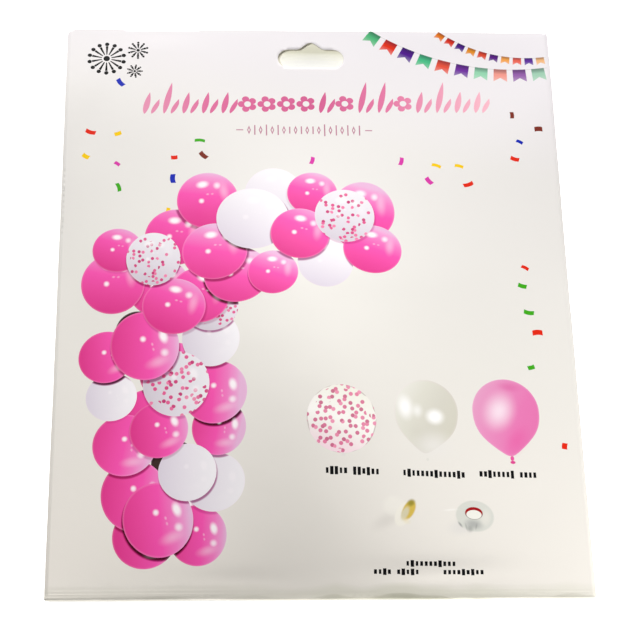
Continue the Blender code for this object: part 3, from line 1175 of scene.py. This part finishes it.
cut_board = new_material("board_cut_edge")
tree = cut_board.node_tree
here = place_in_mm(1.0)
pulp = add("TexNoise", here, 2.4, 4.0)
pulp_colour = add("ValToRGB", pulp, stops={0.3: "#B9B5A2", 0.7: "#D6D2C3"})
bump = add("Bump", named={"Strength": 0.5, "Distance": 0.0001, "Height": pulp})
surface = add(
    "BsdfPrincipled", named={"Base Color": pulp_colour, "Roughness": 0.85, "IOR": 1.5, "Normal": bump},
)
add("OutputMaterial", surface)

for material in (board, back_board, cut_board):
    wallet_mesh.materials.append(material)


# Table top and lamps
# The packet lies on a plain white sheet under soft studio lamps, the main one beyond its header.
# The sheet glows like a lit backdrop. Under the packet its colour and glow are turned down to a
# painted olive-grey shade, which painted light lifts in an oval where the slot lets light through.

floor_mesh = bpy.data.meshes.new("white_sheet")
FLOOR_HALF = 4.0
floor_corners = [(x * FLOOR_HALF, y * FLOOR_HALF) for x, y in ((-1, -1), (1, -1), (1, 1), (-1, 1))]
floor_mesh.from_pydata([(x, y, -0.0003) for x, y in floor_corners], [], [(0, 1, 2, 3)])
floor = bpy.data.objects.new("white_sheet", floor_mesh)
bpy.context.scene.collection.objects.link(floor)
paper = new_material("white_sheet_painted_shade")
tree = paper.node_tree
here = place_in_mm()
across, upward, _ = add("SeparateXYZ", here).outputs
# Painted shade: the sheet is darker inside the packet's outline.
shade_inside_sides = add("Math ABSOLUTE", across)
shade_inside_sides = add("MapRange", shade_inside_sides, WIDTH / 2, WIDTH / 2 - 2.0, 0.0, 1.0)
shade_inside_ends = add("Math ABSOLUTE", upward)
shade_inside_ends = add("MapRange", shade_inside_ends, HEIGHT / 2, HEIGHT / 2 - 2.0, 0.0, 1.0)
painted_shade_under_packet = add("Math MULTIPLY", shade_inside_sides, shade_inside_ends)
# Painted light: the shade is lifted in an oval under the slot.
painted_slot_light = oval(here, 0.5, 134.5, 90.0, 12.0)
painted_slot_light = add("MapRange", painted_slot_light, 0.04, 0.95, 0.06, 1.0)
painted_shade_under_packet = add("Math MULTIPLY", painted_shade_under_packet, painted_slot_light)
sheet_glow_and_painted_shade = add("ValToRGB", painted_shade_under_packet, stops={0.0: "#FFFFFF", 1.0: "#949386"})
surface = add(
    "BsdfPrincipled",
    named={
        "Base Color": sheet_glow_and_painted_shade,
        "Roughness": 0.9,
        "Emission Color": sheet_glow_and_painted_shade,
        "Emission Strength": 0.70,
    },
)
add("OutputMaterial", surface)
floor_mesh.materials.append(paper)

# The room lights the packet only faintly, and looks as white as the sheet.
world = bpy.data.worlds.new("soft_room")
world.use_nodes = True
tree = world.node_tree
tree.nodes.clear()
seen = add("LightPath").outputs["Is Camera Ray"]
room_light = add("MapRange", seen, 0.0, 1.0, 0.03, 0.95)
add("OutputWorld", add("Background", "#FFFFFF", room_light))
bpy.context.scene.world = world


def add_lamp(name, place, size, power, tint, glares):
    """A square soft box that faces the packet's middle. A polarised one leaves no glare."""
    light = bpy.data.lights.new(name, "AREA")
    light.size = size
    light.energy = power
    light.color = tint
    lamp = bpy.data.objects.new(name, light)
    lamp.location = place
    lamp.rotation_euler = (-Vector(place)).to_track_quat("-Z", "Y").to_euler()
    lamp.visible_camera = False
    lamp.visible_glossy = glares
    bpy.context.scene.collection.objects.link(lamp)


add_lamp("key", (-0.24, 1.98, 0.64), 0.6, 119.0, (1.0, 0.992, 0.98), True)
add_lamp("side", (0.40, -0.595, 0.195), 0.3, 5.6, (1.0, 0.992, 0.98), False)


# Camera
# A phone held above the packet's lower half and tipped a little towards its top, 0.96 m away.

CAMERA_PLACE = Vector((-0.04739, -0.45634, 0.86248))
CAMERA_RIGHT = Vector((0.99869, -0.02183, 0.04636))
CAMERA_UP = Vector((-0.00185, 0.88874, 0.45840))
SENSOR_WIDTH = 36.0
FOCAL_PIXELS = 2000.0
IMAGE_PIXELS = 640.0

camera_data = bpy.data.cameras.new("camera")
camera_data.sensor_width = SENSOR_WIDTH
camera_data.lens = FOCAL_PIXELS * SENSOR_WIDTH / IMAGE_PIXELS
camera = bpy.data.objects.new("camera", camera_data)
camera_back = CAMERA_RIGHT.cross(CAMERA_UP)
camera.matrix_world = Matrix.Translation(CAMERA_PLACE) @ Matrix(
    (CAMERA_RIGHT, CAMERA_UP, camera_back)
).transposed().to_4x4()
bpy.context.scene.collection.objects.link(camera)
bpy.context.scene.camera = camera
bpy.context.scene.view_settings.view_transform = "Standard"
